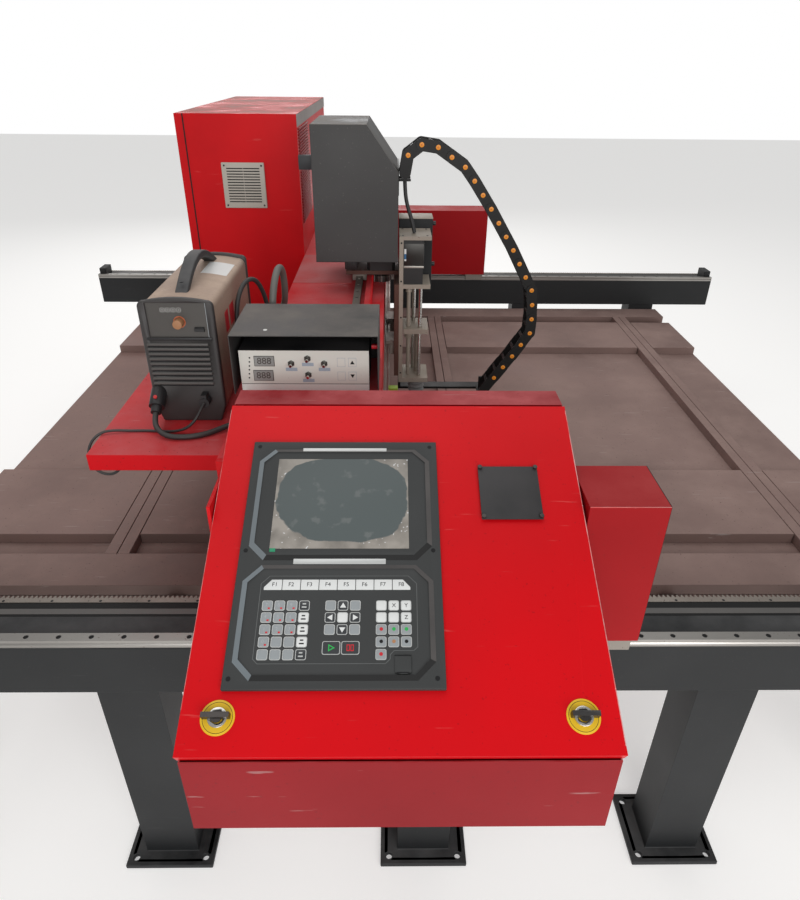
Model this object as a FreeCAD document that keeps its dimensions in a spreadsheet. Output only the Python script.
import FreeCAD, Part
import math
import os
import re
import Sketcher
from FreeCAD import Placement, Rotation, Vector

# A gantry cutting table: two floor rails, a red bridge that rolls along them and
# carries the desk, the power source, the cabinet and the torch carriage.
# X runs along the rails, Y along the bridge away from the desk, Z up, in millimetres.
# The origin is on the floor under the middle of the machine.

os.makedirs("parts", exist_ok=True)
doc = FreeCAD.newDocument("cutting_table")

# Driving dimensions
SIZES = {
    "rail_length": 3000,
    "rail_gauge": 2375,
    "rail_top": 700,
    "rail_width": 20,
    "rail_height": 17.5,
    "rail_groove": 1.8,
    "rail_hole_pitch": 60,
    "rail_hole": 9.5,
    "rail_hole_depth": 8.5,
    "floor_beam_width": 110,
    "floor_beam_height": 120,
    "floor_beam_wall": 6,
    "rail_inset": 12,
    "rack_gap": 12,
    "rack_width": 20,
    "rack_height": 25,
    "gear_module": 3,
    "gear_teeth": 18,
    "gear_width": 22,
    "gear_backlash": 0.6,
    "leg_width": 120,
    "leg_depth": 100,
    "leg_wall": 5,
    "leg_spacing": 588,
    "leg_count": 5,
    "foot_length": 200,
    "foot_width": 170,
    "foot_thickness": 12,
    "foot_hole": 14,
    "foot_hole_inset": 20,
    "stop_length": 30,
    "stop_height": 40,
    "table_height": 540,
    "table_length": 2500,
    "table_start": 319,
    "tie_size": 50,
    "floor_sheet": 3,
    "bar_height": 30,
    "bar_width": 30,
    "bar_gap": 2,
    "edge_bar_width": 120,
    "pair_offset": 131,
    "pair_spacing": 900,
    "plate_width": 320,
    "plate_gap": 80,
    "end_length": 730,
    "end_depth": 120,
    "end_height": 78,
    "end_wall": 8,
    "end_front": 23,
    "flange_thickness": 12,
    "cheek_thickness": 6,
    "block_length": 77.5,
    "block_width": 44,
    "block_height": 30,
    "block_lift": 4.6,
    "block_offset": 324,
    "block_clearance": 0.3,
    "seal_thickness": 3,
    "cover_length": 747,
    "cover_depth": 127,
    "cover_height": 297,
    "cover_front": 25,
    "near_cover_length": 132,
    "sheet": 2,
    "cover_gap": 0.5,
    "motor_size": 86,
    "motor_length": 118,
    "motor_offset": 306,
    "motor_pilot": 73,
    "shaft": 14,
    "shaft_clearance": 0.05,
    "shaft_length": 62,
    "bridge_width": 284,
    "bridge_height": 250,
    "bridge_top": 1020,
    "bridge_right": -98,
    "bridge_wall": 6,
    "top_rail_inset": 77,
    "side_rail_drop": 170,
    "bridge_rack_inset": 34,
    "bridge_rack_height": 20,
    "bridge_rail_start": 465,
    "bridge_rail_end": 60,
    "shelf_width": 324,
    "shelf_depth": 650,
    "shelf_height": 37,
    "shelf_drop": 104,
    "shelf_start": 184,
    "desk_width": 600,
    "desk_left": -363,
    "desk_front": 341,
    "desk_bottom": 670,
    "desk_step": 45,
    "desk_back": 250,
    "desk_front_height": 149,
    "desk_angle": 25.3,
    "door_length": 585,
    "door_lip": 20,
    "flange_gap": 0.5,
    "door_overhang": 3,
    "door_height": 835,
    "door_gap": 4,
    "door_side_gap": 1,
    "hinge_pin": 6,
    "hinge_inset": 4,
    "hinge_depth": 6,
    "lug_width": 7,
    "lug_height": 18,
    "lug_length": 10,
    "panel_left": 51.5,
    "panel_bottom": 84,
    "panel_width": 311.5,
    "panel_length": 416,
    "panel_proud": 8,
    "panel_border": 10,
    "screen_left": 46.5,
    "screen_bottom": 215,
    "screen_width": 216,
    "screen_length": 167,
    "screen_recess": 2.5,
    "controller_depth": 70,
    "controller_length": 347,
    "lock_side": 50,
    "lock_up": 51,
    "lock_shaft": 16,
    "lock_wing": 38,
    "lock_wing_height": 14,
    "lock_wing_width": 7,
    "lock_head_thickness": 4,
    "lock_tongue": 42,
    "lock_tongue_width": 14,
    "lock_tongue_thickness": 3,
    "lock_tongue_drop": 21,
    "keeper_width": 15,
    "keeper_setback": 4,
    "keeper_thickness": 3,
    "keeper_gap": 2.5,
    "cabinet_width": 365,
    "cabinet_depth": 1000,
    "cabinet_height": 720,
    "cabinet_top": 1466,
    "cabinet_start": 1495,
    "cabinet_door": 25,
    "cabinet_rim": 22,
    "knuckle": 12,
    "knuckle_length": 50,
    "knuckle_offset": 8,
    "knuckle_inset": 110,
    "drive_width": 60,
    "drive_height": 180,
    "drive_depth": 130,
    "drive_spacing": 150,
    "drive_count": 4,
    "mount_plate_gap": 25,
    "hood_width": 299,
    "hood_depth": 201,
    "hood_height": 129,
    "hood_start": 365,
    "hood_overhang": 20,
    "height_box_width": 266,
    "height_box_height": 90,
    "height_box_depth": 165,
    "height_box_recess": 20,
    "height_box_left": 13,
    "bezel_thickness": 4,
    "toggle_pitch": 34,
    "toggle_rise": 11,
    "toggle_drop": 25,
    "toggle_left": 106,
    "toggle_up": 62,
    "toggle_length": 14,
    "toggle_bore": 6,
    "source_width": 157,
    "source_depth": 380,
    "source_height": 283,
    "source_start": 445,
    "source_inset": 104,
    "bezel_depth": 14,
    "handle_rise": 44,
    "handle_width": 30,
    "handle_thickness": 17,
    "handle_start": 47,
    "handle_span": 305,
    "knob_diameter": 26,
    "knob_length": 16,
    "switch_width": 22,
    "switch_height": 12,
    "plug_diameter": 34,
    "plug_length": 50,
    "plug_tilt": 35,
    "plug_left": 14,
    "plug_up": 69,
    "work_plug_left": 117,
    "work_plug_up": 56,
    "button_diameter": 8,
    "button_depth": 6,
    "button_travel": 2,
    "button_proud": 2.5,
    "carriage_start": 1195,
    "carriage_length": 300,
    "carriage_top_plate": 12,
    "carriage_side_plate": 14,
    "carriage_drop": 260,
    "carriage_reach": 117,
    "carriage_block_offset": 100,
    "top_block_offset": 20,
    "deck_setback": 105,
    "post_width": 40,
    "post_thickness": 3,
    "post_lap": 60,
    "carriage_cover_width": 235,
    "carriage_cover_height": 359,
    "carriage_cover_gap": 95,
    "carriage_chamfer_width": 85,
    "carriage_chamfer_height": 119,
    "lifter_width": 110,
    "lifter_reach": 80,
    "lifter_back_plate": 12,
    "lifter_top": 1188,
    "lifter_bottom": 738,
    "lifter_top_plate": 10,
    "lifter_mount_top": 1050,
    "lifter_mount_plate": 12,
    "lifter_bottom_plate": 14,
    "lift_motor_size": 56,
    "lift_motor_length": 70,
    "lift_flange": 9,
    "screw_diameter": 12,
    "screw_across": 18,
    "screw_along": 34,
    "coupling_diameter": 19,
    "coupling_length": 18,
    "rod_diameter": 12,
    "near_rod_across": 52,
    "near_rod_along": 22,
    "far_rod_across": 35,
    "far_rod_along": 88,
    "slide_top": 912,
    "slide_thickness": 15,
    "push_diameter": 16,
    "push_across": 46,
    "push_along": 60,
    "running_clearance": 0.05,
    "bellows_diameter": 52,
    "bellows_neck": 38,
    "bellows_ribs": 7,
    "arm_top": 640,
    "arm_thickness": 15,
    "arm_width": 40,
    "torch_diameter": 32,
    "torch_length": 54,
    "torch_offset": 85,
    "torch_rise": 10,
    "chain_plane": 100,
    "chain_width": 57,
    "chain_pitch": 45,
    "chain_height": 32,
    "chain_plate": 2.6,
    "chain_across": 22,
    "chain_top": 1398,
    "arm_bar": 40,
    "arm_bar_thickness": 8,
    "back_box_depth": 75,
    "back_box_drop": 196,
    "back_box_gap": 15,
}

sheet = doc.addObject("Spreadsheet::Sheet", "Size")
for row, (alias, value) in enumerate(SIZES.items(), start=1):
    sheet.set(f"A{row}", alias)
    sheet.set(f"B{row}", str(value))
    sheet.setAlias(f"B{row}", alias)
doc.recompute()

# Places that follow from the driving dimensions
places = doc.addObject("App::VarSet", "Place")
OWNER = {alias: "Size" for alias in SIZES}
NAME = re.compile(r"[a-z][a-z_]*")


def full(formula):
    """Put the owning object's name in front of every size and place in a formula."""
    return NAME.sub(lambda hit: f"{OWNER[hit.group()]}.{hit.group()}"
                    if hit.group() in OWNER else hit.group(), str(formula))


def bind(thing, prop, formula):
    thing.setExpression(prop, full(formula))


def place(name, formula):
    places.addProperty("App::PropertyFloat", name)
    bind(places, name, formula)
    OWNER[name] = "Place"


def size(name):
    """The number that a size or place has now."""
    owner = places if OWNER[name] == "Place" else sheet
    return float(getattr(owner, name))


place("gear_pitch_radius", "gear_module * gear_teeth / 2")
place("rack_face", "floor_beam_width - rail_inset + rack_gap + rack_width")
place("gear_axis", "rack_face - gear_module + gear_pitch_radius")
place("machine_depth", "desk_front + door_overhang + rail_gauge + gear_axis + motor_size / 2")
place("near_rail", "desk_front + door_overhang - machine_depth / 2")
place("far_rail", "near_rail + rail_gauge")
place("floor_beam_top", "rail_top - rail_height")
place("floor_beam_bottom", "floor_beam_top - floor_beam_height")
place("rack_top", "floor_beam_top")
place("block_top", "floor_beam_top + block_height")
place("end_back", "end_depth - end_front")
place("bridge_start", "near_rail + end_back + flange_thickness")
place("bridge_end", "far_rail - end_front - flange_thickness")
place("bridge_left", "bridge_right - bridge_width")
place("bridge_bottom", "bridge_top - bridge_height")
place("top_rail_axis", "bridge_right - top_rail_inset")
place("side_rail_axis", "bridge_top - side_rail_drop")
place("bridge_rack_face", "bridge_right - bridge_rack_inset")
place("bridge_gear_axis", "bridge_rack_face - gear_module + gear_pitch_radius")
place("carriage_axis", "near_rail + carriage_start")
place("carriage_front", "carriage_axis - carriage_length / 2")
place("carriage_deck", "bridge_top + block_height")
place("side_plate_left", "bridge_right + block_height")
place("side_plate_right", "side_plate_left + carriage_side_plate")
place("carriage_deck_left", "side_plate_right - carriage_side_plate - carriage_reach - 30")
place("lifter_left", "side_plate_right")
place("lifter_face", "lifter_left + lifter_back_plate")
place("shelf_top", "bridge_top - shelf_drop")
place("shelf_left", "bridge_left - shelf_width")
place("shelf_front", "bridge_start + shelf_start")
place("source_left", "shelf_left + source_inset")
place("source_front", "near_rail + source_start")
place("source_top", "shelf_top + source_height")
place("hood_left", "bridge_left - hood_overhang")
place("hood_front", "near_rail + hood_start")
place("height_box_west", "hood_left + height_box_left")
place("height_box_front", "hood_front + height_box_recess")
place("cabinet_left", "bridge_left - cabinet_width")
place("cabinet_front", "near_rail + cabinet_start")
place("cabinet_back", "cabinet_front + cabinet_depth")
place("cabinet_bottom", "cabinet_top - cabinet_height")
place("desk_right", "desk_left + desk_width")
place("desk_body_left", "desk_left + sheet + door_side_gap")
place("desk_body_width", "desk_width - 2 * sheet - 2 * door_side_gap")
place("door_front", "near_rail - desk_front - door_overhang")
place("screw_x", "lifter_face + screw_across")
place("screw_y", "carriage_front + screw_along")
place("push_x", "lifter_face + push_across")
place("push_y", "carriage_front + push_along")
place("torch_y", "push_y - torch_offset")
place("torch_top", "arm_top + torch_rise")
place("slide_bottom", "slide_top - slide_thickness")
place("bar_bottom", "table_height - bar_height")
place("tie_top", "bar_bottom - floor_sheet")
place("table_front", "near_rail + table_start")
place("table_back", "far_rail - rail_inset")
place("pin_up", "door_length - hinge_inset")
doc.recompute()


# Small builders that the sections below share
def seat(thing, at, turn=None):
    """Place an object at three formulas, turned by an optional rotation."""
    thing.Placement = Placement(Vector(), turn or Rotation())
    for axis, formula in zip("xyz", at):
        bind(thing, f"Placement.Base.{axis}", formula)
    return thing


def box(name, at, sizes):
    thing = doc.addObject("Part::Box", name)
    for prop, formula in zip(("Length", "Width", "Height"), sizes):
        bind(thing, prop, formula)
    return seat(thing, at)


ALONG = {"x": Rotation(Vector(0, 1, 0), 90), "y": Rotation(Vector(1, 0, 0), -90), "z": Rotation()}


def rod(name, at, diameter, length, along="z"):
    thing = doc.addObject("Part::Cylinder", name)
    bind(thing, "Radius", f"({diameter}) / 2")
    bind(thing, "Height", length)
    return seat(thing, at, ALONG[along])


def fuse(name, pieces):
    thing = doc.addObject("Part::MultiFuse", name)
    thing.Shapes = pieces
    thing.Refine = True
    return thing


def cut(name, base, tools):
    thing = doc.addObject("Part::Cut", name)
    thing.Base = base
    thing.Tool = tools[0] if len(tools) == 1 else fuse(name + "_tools", tools)
    return thing


def group(name, pieces):
    thing = doc.addObject("Part::Compound", name)
    thing.Links = pieces
    return thing


def feature(name, shape):
    thing = doc.addObject("Part::Feature", name)
    thing.Shape = shape
    thing.Placement = Placement()
    return thing


def origin_part(body, role):
    return next(item for item in body.Origin.OriginFeatures if item.Role == role)


def outline(body, name, points, role="YZ_Plane"):
    """A closed sketch whose corners sit at pairs of formulas from the origin."""
    sketch = body.newObject("Sketcher::SketchObject", name)
    sketch.AttachmentSupport = [(origin_part(body, role), "")]
    sketch.MapMode = "FlatFace"
    count = len(points)
    spots = [Vector(math.cos(2 * math.pi * i / count) + 2, math.sin(2 * math.pi * i / count) + 2, 0) * 100
             for i in range(count)]
    for i in range(count):
        sketch.addGeometry(Part.LineSegment(spots[i], spots[(i + 1) % count]))
    for i in range(count):
        sketch.addConstraint(Sketcher.Constraint("Coincident", i, 2, (i + 1) % count, 1))
    for i, point in enumerate(points):
        for kind, axis, formula in (("DistanceX", -2, point[0]), ("DistanceY", -1, point[1])):
            if str(formula) == "0":
                sketch.addConstraint(Sketcher.Constraint("PointOnObject", i, 1, axis))
            else:
                index = sketch.addConstraint(Sketcher.Constraint(kind, -1, 1, i, 1, 100.0))
                bind(sketch, f"Constraints[{index}]", formula)
    return sketch


def pad(body, name, sketch, length, middle=False):
    thing = body.newObject("PartDesign::Pad", name)
    thing.Profile = sketch
    if middle:
        thing.SideType = "Symmetric"
    bind(thing, "Length", length)
    return thing


def pocket(body, name, sketch, length, middle=False, reverse=False):
    thing = body.newObject("PartDesign::Pocket", name)
    thing.Profile = sketch
    if middle:
        thing.SideType = "Symmetric"
    thing.Reversed = reverse
    bind(thing, "Length", length)
    return thing


def volume_drops(body, feature_name):
    """A pocket has to take something away from the feature before it."""
    step = doc.getObject(feature_name)
    assert step.Shape.Volume < step.BaseFeature.Shape.Volume - 1, feature_name


# Profiled guide rail with a row of counterbored bolt holes
def guide_rail(name, length, at, turn=None):
    body = doc.addObject("PartDesign::Body", name)
    low, high = "rail_height / 2 - rail_groove * 1.5", "rail_height / 2 + rail_groove * 1.5"
    section = outline(body, name + "_section", [
        (0, 0), ("rail_width", 0), ("rail_width", low), ("rail_width - rail_groove", "rail_height / 2"),
        ("rail_width", high), ("rail_width", "rail_height"), (0, "rail_height"),
        (0, high), ("rail_groove", "rail_height / 2"), (0, low)])
    pad(body, name + "_bar", section, length)
    hole = body.newObject("Sketcher::SketchObject", name + "_hole")
    hole.AttachmentSupport = [(origin_part(body, "XY_Plane"), "")]
    hole.MapMode = "FlatFace"
    bind(hole, "AttachmentOffset.Base.z", "rail_height")
    hole.addGeometry(Part.Circle(Vector(30, 10, 0), Vector(0, 0, 1), 4))
    for kind, formula in (("DistanceX", "rail_hole_pitch / 2"), ("DistanceY", "rail_width / 2")):
        index = hole.addConstraint(Sketcher.Constraint(kind, -1, 1, 0, 3, 30.0))
        bind(hole, f"Constraints[{index}]", formula)
    index = hole.addConstraint(Sketcher.Constraint("Diameter", 0, 9.0))
    bind(hole, f"Constraints[{index}]", "rail_hole")
    bore = pocket(body, name + "_bore", hole, "rail_hole_depth")
    doc.recompute()
    volume_drops(body, name + "_bore")
    row = body.newObject("PartDesign::LinearPattern", name + "_row")
    row.Originals = [bore]
    row.Direction = (origin_part(body, "X_Axis"), [""])
    bind(row, "Length", f"(floor(({length}) / rail_hole_pitch) - 1) * rail_hole_pitch")
    bind(row, "Occurrences", f"floor(({length}) / rail_hole_pitch)")
    body.Tip = row
    return seat(body, at, turn)


QUARTER = Rotation(Vector(0, 0, 1), 90)
SIDEWAYS = Rotation(Vector(1, 1, 1), 120)


# Carriage block that straddles a guide rail, with its end seals left to its ends
def guide_block(name, at, turn=None):
    shell = box(name + "_shell", (0, 0, 0), ("block_length", "block_width", "block_height - block_lift"))
    slot = box(name + "_slot",
               (-1, "(block_width - rail_width) / 2 - block_clearance", -1),
               ("block_length + 2", "rail_width + 2 * block_clearance",
                "rail_height + block_clearance - block_lift + 1"))
    return seat(cut(name, shell, [slot]), at, turn)


# Straight rack whose teeth face +Y, and the pinion that rolls along it
PRESSURE_ANGLE = math.radians(20)


def rack_shape(length, tooth_at, width, height):
    """A rack along +X from 0, tips on Y = 0, with a gap centred at tooth_at."""
    module = size("gear_module")
    pitch = math.pi * module
    slope = math.tan(PRESSURE_ANGLE)
    half_gap = (pitch + size("gear_backlash")) / 4
    root = -2.25 * module
    points = [Vector(0, -width, 0), Vector(0, 0, 0)]
    first = tooth_at - pitch * math.floor((tooth_at - half_gap - module) / pitch)
    for i in range(math.floor((length - first - half_gap - module) / pitch) + 1):
        middle = first + i * pitch
        mouth = half_gap + module * slope
        bottom = half_gap - 1.25 * module * slope
        points += [Vector(middle - mouth, 0, 0), Vector(middle - bottom, root, 0),
                   Vector(middle + bottom, root, 0), Vector(middle + mouth, 0, 0)]
    points += [Vector(length, 0, 0), Vector(length, -width, 0), Vector(0, -width, 0)]
    return Part.Face(Part.makePolygon(points)).extrude(Vector(0, 0, height))


def involute(angle):
    return math.tan(angle) - angle


def gear_shape(width):
    """A spur gear about Z with one tooth centred on -Y."""
    module, teeth = size("gear_module"), int(size("gear_teeth"))
    pitch_radius = size("gear_pitch_radius")
    base_radius = pitch_radius * math.cos(PRESSURE_ANGLE)
    tip_radius, root_radius = pitch_radius + module, pitch_radius - 1.25 * module
    half = (math.pi * module - size("gear_backlash") / 2) / 4 / pitch_radius * 2 / 2
    start = max(base_radius, root_radius)
    flank = []
    for i in range(4):
        radius = start + (tip_radius - start) * i / 3
        spread = half + involute(PRESSURE_ANGLE) - involute(math.acos(min(1, base_radius / radius)))
        flank.append((radius, spread))
    points = []
    for tooth in range(teeth):
        centre = -math.pi / 2 + 2 * math.pi * tooth / teeth
        points.append((root_radius, centre - flank[0][1]))
        points += [(radius, centre - spread) for radius, spread in flank]
        points += [(radius, centre + spread) for radius, spread in reversed(flank)]
        points.append((root_radius, centre + flank[0][1]))
    corners = [Vector(r * math.cos(a), r * math.sin(a), 0) for r, a in points]
    return Part.Face(Part.makePolygon(corners + corners[:1])).extrude(Vector(0, 0, width))


def pinion(name, x, y, z):
    """A pinion and the motor shaft it is keyed on."""
    gear = gear_shape(size("gear_width"))
    shaft = Part.makeCylinder(size("shaft") / 2, size("shaft_length") + size("gear_width"))
    thing = feature(name, gear.fuse(shaft).removeSplitter())
    return seat(thing, (x, y, z))


# Drive motor: square body with a round pilot and a bore for the pinion's shaft
def drive_motor(name, x, y, z):
    block = box(name + "_block", (f"{x} - motor_size / 2", f"{y} - motor_size / 2", z),
                ("motor_size", "motor_size", "motor_length"))
    core = rod(name + "_core", (x, y, z), "motor_size * 1.27", "motor_length")
    body = doc.addObject("Part::MultiCommon", name + "_body")
    body.Shapes = [block, core]
    bore = rod(name + "_bore", (x, y, f"{z} - 1"), "shaft + 2 * shaft_clearance", "shaft_length + 3")
    return cut(name, body, [bore])


# Floor beams with the welded stops that end the gantry's travel
def floor_beam(name, rail):
    front = f"{rail} - rail_inset"
    at = ("-rail_length / 2", front, "floor_beam_bottom")
    tube = box(name + "_tube", at, ("rail_length", "floor_beam_width", "floor_beam_height"))
    hollow = box(name + "_hollow",
                 ("-rail_length / 2 - 1", f"{front} + floor_beam_wall", "floor_beam_bottom + floor_beam_wall"),
                 ("rail_length + 2", "floor_beam_width - 2 * floor_beam_wall",
                  "floor_beam_height - 2 * floor_beam_wall"))
    beam = cut(name + "_beam", tube, [hollow])
    spacer = box(name + "_spacer",
                 ("-rail_length / 2", f"{front} + floor_beam_width", "rack_top - rack_height"),
                 ("rail_length", "rack_gap", "rack_height / 2"))
    stops = [box(f"{name}_stop_{side}",
                 (f"{edge}", f"{front} + 2 * rail_inset + 4", "floor_beam_top"),
                 ("stop_length", "floor_beam_width - 2 * rail_inset - 8", "stop_height"))
             for side, edge in (("left", "-rail_length / 2"), ("right", "rail_length / 2 - stop_length"))]
    return fuse(name, [beam, spacer] + stops)


floor_beam("floor_beam_near", "near_rail")
floor_beam("floor_beam_far", "far_rail")

group("floor_rails", [
    guide_rail("floor_rail_" + side, "rail_length",
               ("-rail_length / 2", f"{rail} - rail_width / 2", "floor_beam_top"))
    for side, rail in (("near", "near_rail"), ("far", "far_rail"))])

rack_along_x = rack_shape(size("rail_length"), size("rail_length") / 2 + size("motor_offset"),
                          size("rack_width"), size("rack_height"))
group("floor_racks", [
    seat(feature("floor_rack_" + side, rack_along_x.copy()),
         ("-rail_length / 2", f"{rail} + rack_face", "rack_top - rack_height"))
    for side, rail in (("near", "near_rail"), ("far", "far_rail"))])


# Legs: square tubes on drilled foot plates, a row under each floor beam
def leg(name, x, rail):
    y = f"{rail} - rail_inset + (floor_beam_width - leg_depth) / 2"
    tube = box(name + "_tube", (f"{x} - leg_width / 2", y, "foot_thickness"),
               ("leg_width", "leg_depth", "floor_beam_bottom - foot_thickness"))
    hollow = box(name + "_hollow", (f"{x} - leg_width / 2 + leg_wall", f"{y} + leg_wall", "foot_thickness"),
                 ("leg_width - 2 * leg_wall", "leg_depth - 2 * leg_wall",
                  "floor_beam_bottom - foot_thickness"))
    foot_y = f"{rail} - rail_inset + (floor_beam_width - foot_width) / 2"
    plate = box(name + "_plate", (f"{x} - foot_length / 2", foot_y, 0),
                ("foot_length", "foot_width", "foot_thickness"))
    holes = [rod(f"{name}_hole_{i}",
                 (f"{x} + {sign_x} * (foot_length / 2 - foot_hole_inset)",
                  f"{foot_y} + foot_width / 2 + {sign_y} * (foot_width / 2 - foot_hole_inset)", -1),
                 "foot_hole", "foot_thickness + 2")
             for i, (sign_x, sign_y) in enumerate(((-1, -1), (1, -1), (1, 1), (-1, 1)))]
    upright = cut(name + "_upright", tube, [hollow])
    foot = cut(name + "_foot", plate, holes)
    return fuse(name, [upright, foot])


LEG_COUNT = int(size("leg_count"))
LEG_PLACES = [f"{i - (LEG_COUNT - 1) / 2} * leg_spacing" for i in range(LEG_COUNT)]
group("legs", [leg(f"leg_{side}_{i}", x, rail)
               for side, rail in (("near", "near_rail"), ("far", "far_rail"))
               for i, x in enumerate(LEG_PLACES)])

# Table frame: ties between the two rows of legs, and two stringers across them
tie_start = "near_rail - rail_inset + (floor_beam_width + leg_depth) / 2"
tie_end = "far_rail - rail_inset + (floor_beam_width - leg_depth) / 2"
ties = [box(f"table_tie_{i}", (f"{x} - tie_size / 2", tie_start, "tie_top - tie_size"),
            ("tie_size", f"({tie_end}) - ({tie_start})", "tie_size"))
        for i, x in enumerate(LEG_PLACES)]
stringers = [box(f"table_stringer_{side}", ("-table_length / 2", y, "tie_top - tie_size"),
                 ("table_length", "tie_size", "tie_size"))
             for side, y in (("near", "table_front"), ("far", "table_back - 2 * tie_size"))]
fuse("table_frame", ties + stringers)

# Tray floor with raised plates, and the flat bars that carry the work
PAIR_PLACES = [f"pair_offset + {i} * pair_spacing" for i in (-1, 0, 1)]
SPAN_EDGES = (["-table_length / 2"]
              + [f"{x} {side} (bar_width + bar_gap / 2)" for x in PAIR_PLACES for side in "-+"]
              + ["table_length / 2"])
floor = box("tray_sheet", ("-table_length / 2", "table_front", "tie_top"),
            ("table_length", "table_back - table_front", "floor_sheet"))
raised = []
for row, y in (("near", "table_front + edge_bar_width + plate_gap"),
               ("far", "table_back - edge_bar_width - plate_gap - plate_width")):
    for i in range(0, len(SPAN_EDGES), 2):
        start, stop = SPAN_EDGES[i], SPAN_EDGES[i + 1]
        raised.append(box(f"tray_plate_{row}_{i}", (f"{start} + bar_gap", y, "bar_bottom"),
                          (f"({stop}) - ({start}) - 2 * bar_gap", "plate_width", "bar_height")))
group("table_tray", [floor] + raised)
bars = []
for i, x in enumerate(PAIR_PLACES):
    for side, left in (("left", f"{x} - bar_width - bar_gap / 2"), ("right", f"{x} + bar_gap / 2")):
        bars.append(box(f"long_bar_{i}_{side}", (left, "table_front + edge_bar_width", "bar_bottom"),
                        ("bar_width", "table_back - table_front - 2 * edge_bar_width", "bar_height")))
for side, y in (("near", "table_front"), ("far", "table_back - edge_bar_width")):
    bars.append(box(f"edge_bar_{side}", ("-table_length / 2", y, "bar_bottom"),
                    ("table_length", "edge_bar_width", "bar_height")))
group("table_bars", bars)


# End carriages: a low tube on two blocks, a motor ear and the flange the bridge bolts to
def end_carriage(name, rail, flange_at, cheek):
    left, front = "-end_length / 2", f"{rail} - end_front"
    tube = box(name + "_tube", (left, front, "block_top"), ("end_length", "end_depth", "end_height"))
    hollow = box(name + "_hollow", (f"{left} - 1", f"{front} + end_wall", "block_top + end_wall"),
                 ("end_length + 2", "end_depth - 2 * end_wall", "end_height - 2 * end_wall"))
    beam = cut(name + "_beam", tube, [hollow])
    ear = box(name + "_ear", (f"motor_offset - motor_size / 2", f"{rail} + end_back", "block_top"),
              ("motor_size", "gear_axis + motor_size / 2 - end_back", "flange_thickness"))
    hole = rod(name + "_ear_hole", ("motor_offset", f"{rail} + gear_axis", "block_top - 1"),
               "shaft + 6", "flange_thickness + 2")
    flange = box(name + "_flange", ("bridge_left", flange_at, "block_top"),
                 ("bridge_width", "flange_thickness", "bridge_top - block_top"))
    pieces = [beam, cut(name + "_drilled_ear", ear, [hole]), flange]
    if cheek:
        pieces.append(box(name + "_cheek", ("-end_length / 2 - cheek_thickness", f"{rail} - cover_front",
                                            "block_top + cover_gap"),
                          ("cheek_thickness", "cover_depth", "cover_height")))
    return fuse(name, pieces)


end_carriage("end_carriage_near", "near_rail", "near_rail + end_back", cheek=True)
end_carriage("end_carriage_far", "far_rail", "bridge_end", cheek=False)
group("gantry_blocks", [
    guide_block(f"gantry_block_{end}_{side}",
                (f"{sign} * block_offset - block_length / 2", f"{rail} - block_width / 2",
                 "floor_beam_top + block_lift"))
    for end, rail in (("near", "near_rail"), ("far", "far_rail"))
    for side, sign in (("left", -1), ("right", 1))])
group("gantry_motors", [
    drive_motor("gantry_motor_" + end, "motor_offset", f"({rail} + gear_axis)", "(block_top + flange_thickness)")
    for end, rail in (("near", "near_rail"), ("far", "far_rail"))])
for end, rail in (("near", "near_rail"), ("far", "far_rail")):
    pinion("floor_pinion_" + end, "motor_offset", f"{rail} + gear_axis", "rack_top - gear_width - 1")

# Sheet covers over the end carriages
near_right = "cover_length / 2"
near_left = f"{near_right} - near_cover_length"
near_shell = box("near_cover_shell", (near_left, "near_rail - cover_front", "block_top + cover_gap"),
                 ("near_cover_length", "cover_depth", "cover_height"))
near_room = box("near_cover_room",
                (f"{near_left} + sheet", "near_rail - cover_front + sheet", "block_top + cover_gap - 1"),
                ("near_cover_length - 2 * sheet", "cover_depth", "cover_height - sheet + 1"))
near_tunnel = box("near_cover_tunnel",
                  (f"{near_left} - 1", "near_rail - end_front - 1", "block_top - 1"),
                  ("sheet + 2", "cover_depth", "end_height + 2"))
cut("end_cover_near", near_shell, [near_room, near_tunnel])
far_shell = box("far_cover_shell", ("-cover_length / 2", "far_rail - cover_front", "block_top + cover_gap"),
                ("cover_length", "cover_depth", "cover_height"))
far_room = box("far_cover_room",
               ("-cover_length / 2 + sheet", "far_rail - cover_front + sheet", "block_top + cover_gap - 1"),
               ("cover_length - 2 * sheet", "cover_depth", "cover_height - sheet + 1"))
far_notch = box("far_cover_notch",
                ("-cover_length / 2 - 1", "far_rail - cover_front - 1", "block_top + cover_gap - 1"),
                ("cover_length / 2 + bridge_right + 3", "sheet + 3", "cover_height + 2"))
cut("end_cover_far", far_shell, [far_room, far_notch])

# Bridge: a hollow red tube between the end flanges, with its rails and rack
bridge_length = "bridge_end - bridge_start"
bridge_tube = box("bridge_tube", ("bridge_left", "bridge_start", "bridge_bottom"),
                  ("bridge_width", bridge_length, "bridge_height"))
bridge_hollow = box("bridge_hollow",
                    ("bridge_left + bridge_wall", "bridge_start - 1", "bridge_bottom + bridge_wall"),
                    ("bridge_width - 2 * bridge_wall", bridge_length + " + 2",
                     "bridge_height - 2 * bridge_wall"))
cut("bridge_beam", bridge_tube, [bridge_hollow])
bridge_rail_length = "bridge_end - bridge_start - bridge_rail_start - bridge_rail_end"
group("bridge_rails", [
    guide_rail("bridge_rail_top", bridge_rail_length,
               ("top_rail_axis + rail_width / 2", "bridge_start + bridge_rail_start", "bridge_top"), QUARTER),
    guide_rail("bridge_rail_side", bridge_rail_length,
               ("bridge_right", "bridge_start + bridge_rail_start", "side_rail_axis - rail_width / 2"),
               SIDEWAYS)])
track_length = size("bridge_end") - size("bridge_start") - size("bridge_rail_start") - size("bridge_rail_end")
track_start = size("bridge_start") + size("bridge_rail_start")
bridge_rack = rack_shape(track_length, track_start + track_length - size("carriage_axis"),
                         size("rack_width"), size("bridge_rack_height"))
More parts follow.
